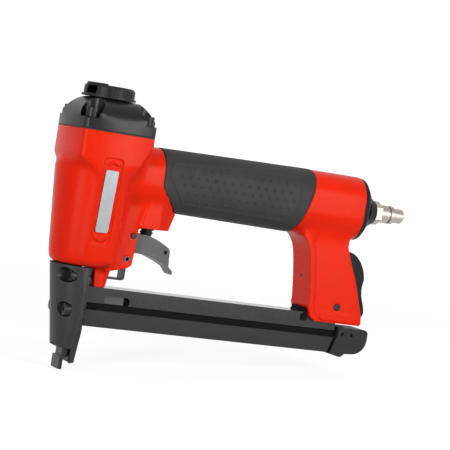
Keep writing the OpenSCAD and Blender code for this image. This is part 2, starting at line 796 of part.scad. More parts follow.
module feed_slide() {
    color("#2c2d2f") difference() {
        union() {
            slab(rail_w) polygon([[rail_front + play, slide_z], [slide_end - 3.5, slide_z],
                [slide_end, slide_top], [rail_front + play, slide_top]]);
            block(rail_front + play, rail_end - 1, 2 * (slide_in + slide_wall), slide_top - 1, staple_top);
        }
        block(0, rail_end + 5, 2 * slide_in, slide_z + 1.8, 60);
        // Notch that shows the pusher through the rail's window
        block(window[0] - 1, window[1] + 1, 40, rail_low, 60);
    }
}

module staple_core() {
    color("#3f4144") difference() {
        union() {
            block(rail_front + play, rail_end - 1, 2 * core_half, slide_z + 1.8, core_top);
            block(rail_end - 2, core_end, 2 * core_half, slide_z + 1.8, 44.2);
        }
        block(7, core_end + 7, 2 * core_half - 2.4, slide_z, core_top - 1.3);
        block(0, rail_end - 3, 2.4, rod_z + 4, 60);
        along(0, 10, rod_r + fit, z = rod_z);
        block_pin_places() cylinder(r = block_pin_r + fit, h = 5.6, center = true);
    }
}

module end_block() {
    top = 46.9;
    nose_r = 3;
    heel_r = 10.6;
    rear = 26.2;
    heel_z = 40.2;
    color("#2a2b2d") difference() {
        translate([rail_end, 0, 0]) slab(20) polygon(concat([[3, top]],
            [for (a = [90:-18:0]) [rear - nose_r * (1 - cos(a)), top - nose_r * (1 - sin(a))]],
            [for (a = [0:-10:-90]) [rear - heel_r * (1 - cos(a)), heel_z + heel_r * sin(a)]],
            [[10.2, 29.2], [7.7, 27], [5.4, 27], [-1.3, 28.6], [2.1, slide_top], [3, 42]]));
        block(rail_end - 7, core_end + 0.1, 2 * core_half + 0.1, slide_z + 1.75, 44.25);
        along(rail_end + 3, core_end + 5, rod_r + fit, z = rod_z);
        block_pin_places() cylinder(r = block_pin_r + fit, h = 40, center = true);
    }
}

// Places of the short pins that hold the end block to the core, two on each side
module block_pin_places() {
    for (x = [6.3, 13.6]) for (s = [-1, 1])
        translate([rail_end + x, s * (core_half + 1.5), 42.4]) rotate([90, 0, 0]) children();
}

module block_pins() {
    color("#6d6f72") block_pin_places() cylinder(r = block_pin_r, h = 5.4, center = true);
}

module pusher() {
    color("#7b7e82") difference() {
        union() {
            block(pusher_x, pusher_x + pusher_len, 2 * slide_in - 2 * play, 35, staple_top - 0.2);
            along(pusher_x + 6, pusher_x + 16, 3, z = rod_z);
        }
        difference() {
            block(0, 60, 2 * core_half + 0.4, 30, core_top + 0.2);
            block(pusher_x + 6, pusher_x + 16, 1.8, rod_z, core_top + 1);
            along(pusher_x + 6, pusher_x + 16, 3, z = rod_z);
        }
        along(0, 60, rod_r + 0.05, z = rod_z);
    }
}

module pusher_rod() {
    color("#a5a7aa") along(rail_front + play + 0.2, core_end + 4.5, rod_r, z = rod_z);
}

module release_lever() {
    color("#1f2022") difference() {
        union() {
            slab(lever_w) polygon(from_rim([[-4.6, 97.4], [-0.4, 98.8], [4.8, 97], [9.6, 92.6], [13, 86.6],
                [14.4, 81], [13.4, 75.4], [14.2, 69.6], [17, 62.6], [18.2, 58], [16.4, 54.6], [12.4, 55.6],
                [8.6, 63.4], [3, 69], [-1, 79], [-3.4, 88]]));
            slab(lever_w - 4) polygon(from_rim([[-6.1, 55.9], [12, 57], [8.6, 66], [1, 75], [-8, 64]]));
            across(lever_pivot, 4.3, lever_w);
        }
        across(lever_pivot, lever_pin_d / 2 + 0.05, 60);
    }
}

// Set screw in the front of the leg
module leg_screw() {
    color("#c9c9cc") difference() {
        along(handle_end - 30.4, handle_end - 21.4, leg_hole_r - fit, z = leg_hole_z);
        translate([handle_end - 31, 0, leg_hole_z]) rotate([0, 90, 0]) cylinder(r = 0.7, h = 3, $fn = 6);
    }
}

module lever_pin() {
    color("#1a1b1d") across(lever_pivot, lever_pin_d / 2, leg_w + 0.4);
}

body();
cap_gasket();
cylinder_cap();
cap_screws();
exhaust_deflector();
deflector_screw();
cylinder_sleeve();
head_valve();
bumper();
piston();
piston_ring();
blade_pin();
driver_blade();
badge_plates();
rubber_grip();
handle_end_cap();
air_plug();
trigger();
trigger_pin();
trigger_rocker();
rocker_pin();
valve_bush();
valve_stem();
contact_yoke();
guide_pin_tube();
front_plate();
nose_screws();
driver_guide();
magazine_rail();
rail_screws();
rail_clip();
feed_slide();
staple_core();
end_block();
block_pins();
pusher();
pusher_rod();
release_lever();
lever_pin();
leg_screw();
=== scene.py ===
"""Looks of the pneumatic upholstery stapler around its CAD frame: castings, rubber, steel and studio."""

import math

import bmesh
import bpy
import numpy as np
from mathutils import Matrix, Vector


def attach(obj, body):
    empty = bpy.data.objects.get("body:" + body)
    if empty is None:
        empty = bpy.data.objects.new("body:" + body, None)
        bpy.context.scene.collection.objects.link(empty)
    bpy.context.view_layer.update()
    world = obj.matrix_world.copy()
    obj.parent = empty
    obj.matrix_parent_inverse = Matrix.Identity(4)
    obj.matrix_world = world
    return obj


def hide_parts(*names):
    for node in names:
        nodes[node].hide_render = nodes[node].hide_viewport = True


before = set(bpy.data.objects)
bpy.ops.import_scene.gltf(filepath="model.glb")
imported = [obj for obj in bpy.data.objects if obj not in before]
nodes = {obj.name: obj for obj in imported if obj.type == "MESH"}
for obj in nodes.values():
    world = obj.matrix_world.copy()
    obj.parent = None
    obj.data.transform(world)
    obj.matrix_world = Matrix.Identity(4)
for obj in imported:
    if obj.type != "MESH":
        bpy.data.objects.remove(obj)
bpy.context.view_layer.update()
scene = bpy.context.scene
MM = 0.001
# Points of a CAD mesh nearer than this are one point, in millimetres
JOIN_MM = 0.004


# Camera: the photograph's own view, found by fitting the tool's edges
LENS = 141.37
YAW = math.radians(26.62)
PITCH = math.radians(2.23)
ROLL = math.radians(9.17)
EYE = Vector((-422.3, -1036.8, 149.5)) * MM


def make_camera():
    level_right = Vector((math.cos(YAW), -math.sin(YAW), 0))
    level_ahead = Vector((math.sin(YAW), math.cos(YAW), 0))
    plumb = Vector((0, 0, -1))
    tipped = plumb * math.cos(PITCH) - level_ahead * math.sin(PITCH)
    ahead = plumb * math.sin(PITCH) + level_ahead * math.cos(PITCH)
    right = level_right * math.cos(ROLL) - tipped * math.sin(ROLL)
    down = level_right * math.sin(ROLL) + tipped * math.cos(ROLL)
    data = bpy.data.cameras.new("camera")
    data.lens = LENS
    data.sensor_width = 36
    data.clip_start = 0.05
    data.clip_end = 20
    camera = bpy.data.objects.new("camera", data)
    scene.collection.objects.link(camera)
    turn = Matrix((right, -down, -ahead)).transposed()
    camera.matrix_world = Matrix.Translation(EYE) @ turn.to_4x4()
    scene.camera = camera


# Materials: every one has tone, grain and roughness that vary over the surface
def add(tree, kind, **values):
    made = tree.nodes.new(kind)
    for key, value in values.items():
        made.inputs[key].default_value = value
    return made


def shade(colour, factor):
    return tuple(min(1.0, c * factor) for c in colour) + (1.0,)


def noise(tree, place, size_mm, detail=3.0, stretch=None):
    """A noise whose features are about size_mm wide, drawn out along an axis where stretch says so."""
    if stretch:
        mapping = tree.nodes.new("ShaderNodeMapping")
        mapping.inputs["Scale"].default_value = stretch
        tree.links.new(place, mapping.inputs["Vector"])
        place = mapping.outputs["Vector"]
    made = add(tree, "ShaderNodeTexNoise", Scale=1 / (size_mm * MM), Detail=detail, Roughness=0.55)
    tree.links.new(place, made.inputs["Vector"])
    return made.outputs["Fac"]


def spread(tree, value, low, high, start=0.3, end=0.7):
    made = tree.nodes.new("ShaderNodeMapRange")
    made.inputs["From Min"].default_value = start
    made.inputs["From Max"].default_value = end
    made.inputs["To Min"].default_value = low
    made.inputs["To Max"].default_value = high
    tree.links.new(value, made.inputs["Value"])
    return made.outputs["Result"]


def mixed(tree, factor, first, second):
    """A colour between two: each is a colour or the output of another node."""
    made = tree.nodes.new("ShaderNodeMix")
    made.data_type = "RGBA"
    tree.links.new(factor, made.inputs[0])
    for socket, value in ((made.inputs[6], first), (made.inputs[7], second)):
        if isinstance(value, tuple):
            socket.default_value = value
        else:
            tree.links.new(value, socket)
    return made.outputs[2]


def edge_mask(tree, radius_mm, low, high):
    """High on edges and low on plain faces, by how far the rounded normal turns from the face's own."""
    rounded = tree.nodes.new("ShaderNodeBevel")
    rounded.samples = 4
    rounded.inputs["Radius"].default_value = radius_mm * MM
    plain = tree.nodes.new("ShaderNodeNewGeometry")
    dot = tree.nodes.new("ShaderNodeVectorMath")
    dot.operation = "DOT_PRODUCT"
    tree.links.new(rounded.outputs["Normal"], dot.inputs[0])
    tree.links.new(plain.outputs["Normal"], dot.inputs[1])
    return spread(tree, dot.outputs["Value"], high, low, 0.75, 0.99)


def surface(name, colour, rough, metallic=0.0, specular=0.5, gloss=(1.0, 1.0, 1.0), tone=0.10, tone_mm=18,
            grain_mm=0.8, bump=0.25, depth_mm=0.05, rough_swing=0.06, speck=None, edge_wear_and_highlight=None, edge_wear_and_highlight_mm=0.5,
            stretch=None):
    """A finish with broad changes of tone, a fine grain, and specks or lighter edges where given; lighter
    edges are abrasion, and on the red paint also painted highlight.
    """
    made = bpy.data.materials.new(name)
    made.use_nodes = True
    tree = made.node_tree
    shader = tree.nodes["Principled BSDF"]
    shader.inputs["Metallic"].default_value = metallic
    shader.inputs["Specular IOR Level"].default_value = specular
    shader.inputs["Specular Tint"].default_value = gloss + (1.0,)
    place = tree.nodes.new("ShaderNodeTexCoord").outputs["Object"]
    broad = noise(tree, place, tone_mm, 4.0)
    grain = noise(tree, place, grain_mm, 2.0, stretch)
    paint = mixed(tree, spread(tree, broad, 0.0, 1.0), shade(colour, 1 - tone), shade(colour, 1 + tone))
    if speck:
        speck_colour, speck_mm, share = speck
        dots = noise(tree, place, speck_mm, 1.0)
        paint = mixed(tree, spread(tree, dots, 0.0, share, 0.6, 0.72), paint, speck_colour + (1.0,))
    # Lighter edges: abrasion, and on the red paint also a painted edge highlight
    if edge_wear_and_highlight:
        edge_colour, share = edge_wear_and_highlight
        edge_band = edge_mask(tree, edge_wear_and_highlight_mm, 0.0, share)
        paint = mixed(tree, edge_band, paint, edge_colour + (1.0,))
    tree.links.new(paint, shader.inputs["Base Color"])
    sheen = spread(tree, grain, rough - rough_swing, rough + rough_swing)
    tree.links.new(sheen, shader.inputs["Roughness"])
    relief = tree.nodes.new("ShaderNodeBump")
    relief.inputs["Strength"].default_value = bump
    relief.inputs["Distance"].default_value = depth_mm * MM
    tree.links.new(grain, relief.inputs["Height"])
    tree.links.new(relief.outputs["Normal"], shader.inputs["Normal"])
    return made


RED = (0.75, 0.015, 0.0015)
# Its edges are a pale pink red: painted highlight along the edges, with some abrasion
red_paint = surface("red_paint", RED, 0.31, specular=0.13, gloss=(1.0, 0.8, 0.6), tone=0.04, tone_mm=30,
                    grain_mm=1.0, bump=0.32, depth_mm=0.06, speck=((0.86, 0.035, 0.01), 0.7, 0.35),
                    edge_wear_and_highlight=((0.92, 0.11, 0.06), 0.55))
black_cap = surface("black_cap", (0.010, 0.010, 0.011), 0.31, specular=0.24, grain_mm=0.6, bump=0.25,
                    edge_wear_and_highlight=((0.10, 0.10, 0.10), 0.30))
black_plastic = surface("black_plastic", (0.012, 0.012, 0.013), 0.44, specular=0.2, grain_mm=0.5, bump=0.3,
                        edge_wear_and_highlight=((0.08, 0.08, 0.08), 0.35))
dark_plastic = surface("dark_plastic", (0.007, 0.007, 0.008), 0.40, specular=0.14, grain_mm=0.5, bump=0.3,
                       edge_wear_and_highlight=((0.07, 0.07, 0.07), 0.35))
rubber = surface("rubber", (0.028, 0.029, 0.029), 0.62, specular=0.25, tone=0.14, grain_mm=0.35, bump=0.35,
                 depth_mm=0.04)
black_steel = surface("black_steel", (0.020, 0.021, 0.021), 0.24, specular=0.25, tone=0.15, grain_mm=0.4,
                      bump=0.2, depth_mm=0.02, edge_wear_and_highlight=((0.13, 0.13, 0.13), 0.45), edge_wear_and_highlight_mm=0.35)
slide_steel = surface("slide_steel", (0.018, 0.019, 0.019), 0.34, specular=0.20, tone=0.10, grain_mm=0.4,
                      bump=0.2, depth_mm=0.02, edge_wear_and_highlight=((0.15, 0.15, 0.15), 0.4), edge_wear_and_highlight_mm=0.35)
# A lighter, glossier steel: a painted sheen for the rail's level top
painted_sheen_steel = surface("painted_sheen_steel", (0.10, 0.10, 0.10), 0.14, specular=0.5, tone=0.15, grain_mm=0.4,
                       bump=0.05, depth_mm=0.01, rough_swing=0.03)
block_steel = surface("block_steel", (0.023, 0.023, 0.024), 0.5, specular=0.15, tone=0.10, grain_mm=0.5,
                      bump=0.2, depth_mm=0.03, edge_wear_and_highlight=((0.10, 0.10, 0.10), 0.4))
# Near black and rough: painted shade for parts deep in recesses and for the magazine's inner walls
painted_shade_black = surface("painted_shade_black", (0.004, 0.004, 0.004), 0.75, specular=0.1, tone=0.3, grain_mm=0.6,
                      bump=0.2)
nose_cast = surface("nose_cast", (0.020, 0.020, 0.021), 0.38, specular=0.34, tone=0.14, grain_mm=0.55,
                    bump=0.4, edge_wear_and_highlight=((0.18, 0.18, 0.18), 0.55))
trigger_cast = surface("trigger_cast", (0.074, 0.079, 0.085), 0.38, specular=0.3, tone=0.10, grain_mm=0.6,
                       bump=0.3, edge_wear_and_highlight=((0.25, 0.25, 0.26), 0.4))
pusher_grey = surface("pusher_grey", (0.050, 0.051, 0.053), 0.38, specular=0.35, tone=0.12, grain_mm=0.4,
                      bump=0.15)
screw_black = surface("screw_black", (0.016, 0.016, 0.017), 0.35, specular=0.22, tone=0.2, grain_mm=0.4,
                      bump=0.15, edge_wear_and_highlight=((0.25, 0.25, 0.25), 0.35), edge_wear_and_highlight_mm=0.3)
pin_steel = surface("pin_steel", (0.10, 0.105, 0.11), 0.34, metallic=0.8, tone=0.15, grain_mm=0.5, bump=0.1)
bright_steel = surface("bright_steel", (0.55, 0.56, 0.58), 0.28, metallic=1.0, tone=0.08, grain_mm=0.3,
                       bump=0.08)
nickel = surface("nickel", (0.42, 0.375, 0.33), 0.33, metallic=1.0, tone=0.10, tone_mm=6, grain_mm=0.5,
                 bump=0.10, edge_wear_and_highlight=((0.86, 0.82, 0.76), 0.5), edge_wear_and_highlight_mm=0.3)
brushed_plate = surface("brushed_plate", (0.25, 0.26, 0.275), 0.36, metallic=0.9, tone=0.12, grain_mm=0.35,
                        bump=0.15, depth_mm=0.02, stretch=(1.0, 1.0, 0.03), edge_wear_and_highlight=((0.75, 0.75, 0.77), 0.6))
bare_alloy = surface("bare_alloy", (0.42, 0.43, 0.44), 0.4, metallic=0.9, tone=0.1, grain_mm=0.6, bump=0.15)
seal = surface("seal", (0.012, 0.012, 0.012), 0.6, tone=0.2, grain_mm=0.4, bump=0.2)


def coat_with(obj, made):
    obj.data.materials.clear()
    obj.data.materials.append(made)


def coat_faces(obj, made, chosen):
    """Gives the chosen faces of a CAD node one more finish."""
    obj.data.materials.append(made)
    for face in obj.data.polygons:
        if chosen(obj.data, face):
            face.material_index = len(obj.data.materials) - 1


# The magazine's walls lie outside this half width, and the top of its rail above this height
MAGAZINE_HALF_W = 8.4
RAIL_TOP_Z = 54


def between_walls(mesh, face):
    """Faces of the magazine that lie between its walls, which get painted shade."""
    return all(abs(mesh.vertices[v].co.y) < MAGAZINE_HALF_W * MM for v in face.vertices)


def on_top(mesh, face):
    """The level top of the magazine rail, painted lighter and made glossier: a painted sheen for the light
    it catches.
    """
    return face.normal.z > 0.9 and face.center.z > RAIL_TOP_Z * MM


FINISHES = {
    black_plastic: ["exhaust_deflector", "valve_bush"],
    dark_plastic: ["handle_end_cap"],
    black_steel: ["magazine_rail", "contact_yoke", "driver_guide"],
    slide_steel: ["feed_slide"],
    block_steel: ["end_block"],
    painted_shade_black: ["staple_core", "rail_clip", "rocker_pin", "block_pins"],
    nose_cast: ["front_plate"],
    pusher_grey: ["pusher"],
    trigger_cast: ["trigger"],
    screw_black: ["cap_screws", "deflector_screw", "nose_screws", "lever_pin", "trigger_pin"],
    pin_steel: ["guide_pin_tube", "trigger_rocker", "rail_screws", "leg_screw"],
    bright_steel: ["pusher_rod", "valve_stem", "driver_blade", "blade_pin", "cylinder_sleeve"],
    nickel: ["air_plug"],
    brushed_plate: ["badge_plates"],
    bare_alloy: ["piston"],
    seal: ["cap_gasket", "bumper", "piston_ring", "head_valve"],
}

# Width of the softened edges of each CAD node that shows them, in millimetres
EDGES = {
    "exhaust_deflector": 0.25, "handle_end_cap": 0.5,
    "magazine_rail": 0.5, "feed_slide": 0.45, "rail_clip": 0.4, "contact_yoke": 0.4, "front_plate": 0.5,
    "driver_guide": 0.4, "end_block": 0.8, "trigger": 0.6, "cap_screws": 0.3, "nose_screws": 0.3,
    "lever_pin": 0.5, "trigger_pin": 0.5, "rocker_pin": 0.3, "air_plug": 0.25, "badge_plates": 0.15,
    "block_pins": 0.3, "pusher": 0.3, "valve_bush": 0.2, "guide_pin_tube": 0.2,
}


def soften(obj, width_mm):
    """Rounds a CAD node's hard edges with modifiers, leaving its mesh alone."""
    join = obj.modifiers.new("join", "WELD")
    join.merge_threshold = JOIN_MM * MM
    flat = obj.modifiers.new("flat", "DECIMATE")
    flat.decimate_type = "DISSOLVE"
    flat.angle_limit = math.radians(0.6)
    edge = obj.modifiers.new("edge", "BEVEL")
    edge.width = width_mm * MM
    edge.segments = 3
    edge.limit_method = "ANGLE"
    edge.angle_limit = math.radians(32)
    edge.miter_outer = "MITER_ARC"
    normal = obj.modifiers.new("normal", "WEIGHTED_NORMAL")
    normal.weight = 80


def smooth_all(mesh):
    mesh.polygons.foreach_set("use_smooth", np.ones(len(mesh.polygons), bool))
    mesh.update()


# The rubber grip: a moulded sleeve with a raised panel line and rows of small nubs on each side
HANDLE_Z = 127.5
# Its cut edges in the side view, as height and place along the tool
GRIP_FRONT = [(150, 41.3), (141, 41.6), (135, 41.3), (124, 41.5), (118.7, 44.9), (113.6, 50.2),
              (109, 55.4), (105, 59.6)]
GRIP_REAR = [(150.5, 152.0), (146, 152.8), (142.5, 152.5), (133.6, 150.2), (124.3, 147.8),
             (114.6, 145.2), (105, 142.4)]
GRIP_GAP = 0.2
# Place along the tool, width and height of its first and last section
GRIP_FROM, GRIP_TO = (40.0, 34.4, 40.5), (154.0, 35.4, 44.0)
CORE_W, CORE_H = 29.1, 35.6
AROUND, ALONG = 340, 300
NUB_R, NUB_H = 0.9, 0.6
NUB_PITCH = (6.15, 5.15)
NUB_FROM = (0.65, 127.0)
NUB_ROWS = 5
NUB_CLEAR = 2.5
PANEL = [(45, 134), (48, 139.6), (101, 142.8), (139.6, 142.6), (141, 126), (131.3, 112.8),
         (57.8, 114.4), (46.7, 129)]
PANEL_LINE_W, PANEL_LINE_H = 0.7, 0.30
LIP_R = 0.6
# The relief begins where the sleeve faces this far sideways, and is full after the ramp
FLANK_FROM, FLANK_RAMP = 0.25, 0.2


def profile(table, z):
    """Place along the tool, at each height, of a line given in the side view."""
    heights = np.array([p[0] for p in table])
    places = np.array([p[1] for p in table])
    order = np.argsort(heights)
    return np.interp(z, heights[order], places[order])


# The castings: CAD bodies with cast fillets, grown by evening out a fine skin where real metal flows
EDGE_MM = 0.5
FILLET_MM = 1.3
# Boxes in millimetres where edges and inner corners flow wider, with the length over which they even out
BODY_FLOWS = [
    ((-40, -40, 65), (20, 40, 77), 3.0),
    ((-40, -40, 73), (12, 40, 114), 1.2),
    ((-40, -40, 112), (14, 40, 136), 2.2),
    ((4, -40, 74), (34, -15, 134), 4.2),
    ((4, 15, 74), (34, 40, 134), 4.2),
    ((-17, -40, 70), (-4.4, -14, 126), 3.4),
    ((-17, 14, 70), (-4.4, 40, 126), 3.4),
]
# Boxes where the inner corners alone are filled
BODY_FILLETS = [
    ((10, -20, 64), (36, 20, 118), 2.6),
    ((14, -40, 88), (62, 40, 152), 2.6),
    ((136, -40, 84), (200, 40, 126), 4.8),
]
FLOW_RAMP_MM = 3.0
# Boxes that stay crisp: both badge frames, the band under the leg, and the slots of strap and trigger
BODY_CRISP = [
    ((-5.5, -40, 79), (9.3, -17, 139), 0.25),
    ((-5.5, 17, 79), (9.3, 40, 139), 0.25),
    ((169, -40, 0), (240, 40, 57.4), 0.3),
    ((6.4, -3.9, 0), (22.6, 3.9, 66.9), 0.25),
    ((22.6, -7.6, 0), (42, 7.6, 97), 0.25),
]
# The neck keeps its edge this near to the grip
NECK_EDGE_MM, NECK_NEAR_MM = 0.2, 2
# Front of the rear leg in the side view, as height and place along the tool
LEG_FRONT = [(111, 151.4), (103, 155.4), (85.5, 159.2), (68, 161.8), (59.5, 162)]
# The bead along the leg's front: its reach before and behind it, its sides, its top and how crisp it stays
BEAD_FROM, BEAD_TO = -1, 7
BEAD_OUT_Y = 10.9
BEAD_TOP_Z = 102
BEAD_MM = 0.35
# The leg's front is eased over this length, and sweeps forward under the grip between these heights
LEG_EASE_MM = 6.0
LEG_SWEEP_MM = 4.2
LEG_SWEEP_Z = (91.0, 105.5)
# What lies this far before and behind the front follows it
LEG_AHEAD, LEG_BEHIND = 9, 14


def behind_leg_front(points):
    """How far each point lies behind the front of the leg."""
    return points[:, 0] - profile(LEG_FRONT, points[:, 2])


def in_boxes(points, boxes, least):
    """The length of the boxes that hold each point, rising from the least over a ramp at their walls."""
    length = np.full(len(points), least)
    for low, high, wide in boxes:
        depth = np.minimum(points - np.array(low), np.array(high) - points).min(axis=1)
        ramp = np.clip(depth / FLOW_RAMP_MM, 0, 1)
        length = np.maximum(length, least + (wide - least) * ramp * ramp * (3 - 2 * ramp))
    return length


def body_lengths(points):
    """How far the edges and the inner corners of the body's skin are evened out, in millimetres."""
    edge = in_boxes(points, BODY_FLOWS, EDGE_MM)
    corner = in_boxes(points, BODY_FLOWS + BODY_FILLETS, FILLET_MM)
    for low, high, length in BODY_CRISP:
        held = ((points > low) & (points < high)).all(axis=1)
        edge[held] = length
        corner[held] = length
    behind = behind_leg_front(points)
    bead = (behind > BEAD_FROM) & (behind < BEAD_TO) & (points[:, 2] < BEAD_TOP_Z)
    bead &= np.abs(points[:, 1]) > BEAD_OUT_Y
    edge[bead] = BEAD_MM
    corner[bead] = BEAD_MM
    at_grip = np.abs(points[:, 0] - profile(GRIP_FRONT, points[:, 2])) < NECK_NEAR_MM
    edge[at_grip] = NECK_EDGE_MM
    return edge, corner


CAP_SCREWS = [(4 + sx * 18.75, sy * 18.75) for sx in (-1, 1) for sy in (-1, 1)]
CAP_POCKET_R = 6.95
CAP_JOINT_Z = 152.8
CAP_MM, CAP_POCKET_MM, CAP_JOINT_MM = 2.4, 0.5, 0.4
LEVER_EDGE_MM, LEVER_CORNER_MM = 1.6, 2.4
# Cell of each casting's skin in millimetres, and the rounds that even it out
BODY_SKIN, CAP_SKIN, LEVER_SKIN = (0.48, 260), (0.4, 100), (0.5, 60)


def cap_lengths(points):
    """The cap evens out all over, but stays crisp round the screw pockets and along the joint."""
    length = np.full(len(points), CAP_MM)
    for x, y in CAP_SCREWS:
        away = np.hypot(points[:, 0] - x, points[:, 1] - y) - CAP_POCKET_R
        length = np.minimum(length, np.maximum(away, CAP_POCKET_MM))
    length = np.minimum(length, np.maximum(points[:, 2] - CAP_JOINT_Z - 1, CAP_JOINT_MM))
    return length, length


def lever_lengths(points):
    """The moulded lever is rounded all over."""
    return np.full(len(points), LEVER_EDGE_MM), np.full(len(points), LEVER_CORNER_MM)


def read_points(mesh, key="co"):
    """The places or the normals of a mesh's points, one row each."""
    flat = np.empty(len(mesh.vertices) * 3)
    mesh.vertices.foreach_get(key, flat)
    return flat.reshape(-1, 3)


def write_points(mesh, points):
    mesh.vertices.foreach_set("co", (points * MM).ravel())
    mesh.update()


def even_out(mesh, lengths_at, skin_mm, rounds):
    """Evens out a skin, with one length where it is convex and one where it is hollow."""
    count = len(mesh.vertices)
    points = read_points(mesh) / MM
    outward = read_points(mesh, "normal")
    ends = np.empty(len(mesh.edges) * 2, int)
    mesh.edges.foreach_get("vertices", ends)
    ends = ends.reshape(-1, 2)
    here = np.concatenate([ends[:, 0], ends[:, 1]])
    there = np.concatenate([ends[:, 1], ends[:, 0]])
    valence = np.maximum(np.bincount(here, minlength=count), 1)
    # Each round spreads the skin by its step's share of a cell, so the lengths add up over the rounds
    step = 0.8
    reach = skin_mm * math.sqrt(step * rounds / 2)
    edge, corner = (step * np.clip(length / reach, 0, 1) ** 2 for length in lengths_at(points))
    for _ in range(rounds):
        sums = [np.bincount(here, points[there, axis], count) for axis in range(3)]
        move = np.stack(sums, axis=1) / valence[:, None] - points
        hollow = (move * outward).sum(axis=1) > 0
        points += move * np.where(hollow, corner, edge)[:, None]
    write_points(mesh, points)


def make_casting(node, name, skin, lengths_at, finish, body="tool"):
    """A new skin over a CAD node, evened out over the given lengths, in the node's place."""
    skin_mm, rounds = skin
    mesh = nodes[node].data.copy()
    obj = bpy.data.objects.new(name, mesh)
    scene.collection.objects.link(obj)
    work = bmesh.new()
    work.from_mesh(mesh)
    bmesh.ops.remove_doubles(work, verts=work.verts, dist=JOIN_MM * MM)
    work.to_mesh(mesh)
    work.free()
    bpy.context.view_layer.objects.active = obj
    obj.select_set(True)
    mesh.remesh_voxel_size = skin_mm * MM
    mesh.remesh_voxel_adaptivity = 0
    bpy.ops.object.voxel_remesh()
    obj.select_set(False)
    even_out(obj.data, lengths_at, skin_mm, rounds)
    smooth_all(obj.data)
    coat_with(obj, finish)
    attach(obj, body)
    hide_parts(node)
    return obj



def ease_leg(mesh):
    """Draws the leg's front as one smooth curve that sweeps under the grip, with what lies near it."""
    points = read_points(mesh) / MM
    high, low = LEG_FRONT[0][0], LEG_FRONT[-1][0]
    heights = np.linspace(low, high, 200)
    straight = profile(LEG_FRONT, heights)
    near = np.exp(-0.5 * ((heights[:, None] - heights) / LEG_EASE_MM) ** 2)
    trend = np.polyval(np.polyfit(heights, straight, 1), heights)
    curved = near @ (straight - trend) / near.sum(axis=1) + trend
    shift = np.interp(points[:, 2], heights, curved - straight, 0, 0)
    rise = np.clip((points[:, 2] - LEG_SWEEP_Z[0]) / (LEG_SWEEP_Z[1] - LEG_SWEEP_Z[0]), 0, 1)
    shift -= LEG_SWEEP_MM * rise ** 3
    behind = behind_leg_front(points)
    share = np.clip(1 - behind / LEG_BEHIND, 0, 1) * np.clip(1 + behind / LEG_AHEAD, 0, 1)
    ends = np.clip(np.minimum(points[:, 2] - low, high - points[:, 2]) / LEG_EASE_MM, 0, 1)
    points[:, 0] += shift * share * ends
    write_points(mesh, points)


def obround_ring(count):
    """Outward directions round an upright obround, evenly spread, and the place on its straight sides."""
    width, height = GRIP_FROM[1], GRIP_FROM[2]
    straight, arc = height - width, math.pi * width / 2
    place = (np.arange(count) + 0.5) / count * 2 * (straight + arc)
    half = place % (straight + arc)
    angle = np.clip((half - straight) / arc, 0, 1) * math.pi
    side = np.clip(half / straight, 0, 1) * 2 - 1
    flip = np.where(place >= straight + arc, -1.0, 1.0)
    return np.cos(angle) * flip, np.sin(angle) * flip, side * flip


def segment_distance(x, z, a, b):
    """How far points of the side view lie from the line between two places."""
    ax, az = a
    dx, dz = b[0] - ax, b[1] - az
    share = np.clip(((x - ax) * dx + (z - az) * dz) / (dx * dx + dz * dz), 0, 1)
    return np.hypot(x - ax - share * dx, z - az - share * dz)


def inside_panel(x, z):
    """Which points of the side view lie inside the grip's panel."""
    inside = np.zeros(np.shape(x), bool)
    for (ax, az), (bx, bz) in zip(PANEL, PANEL[1:] + PANEL[:1]):
        crosses = (az > z) != (bz > z)
        with np.errstate(divide="ignore", invalid="ignore"):
            at = ax + (z - az) / (bz - az if bz != az else 1e-9) * (bx - ax)
        inside ^= crosses & (x < at)
    return inside


def relief(x, z, flank):
    """Height of the moulded nubs and panel line over the plain sleeve, in millimetres."""
    line = np.full(np.shape(x), 99.0)
    for a, b in zip(PANEL, PANEL[1:] + PANEL[:1]):
        line = np.minimum(line, segment_distance(x, z, a, b))
    height = PANEL_LINE_H * np.clip(1 - (line / PANEL_LINE_W) ** 2, 0, 1)
    row = np.round((z - NUB_FROM[1]) / NUB_PITCH[1])
    shift = NUB_FROM[0] + np.where(row % 2 == 0, 0.0, NUB_PITCH[0] / 2)
    column = np.round((x - shift) / NUB_PITCH[0])
    nub_x, nub_z = column * NUB_PITCH[0] + shift, NUB_FROM[1] + row * NUB_PITCH[1]
    off = np.hypot(x - nub_x, z - nub_z)
    kept = inside_panel(nub_x, nub_z) & (np.abs(row) <= NUB_ROWS // 2)
    for a, b in zip(PANEL, PANEL[1:] + PANEL[:1]):
        kept &= segment_distance(nub_x, nub_z, a, b) > NUB_CLEAR
    height = np.maximum(height, np.where(kept, NUB_H * np.clip(1 - (off / NUB_R) ** 2, 0, 1), 0))
    return height * flank


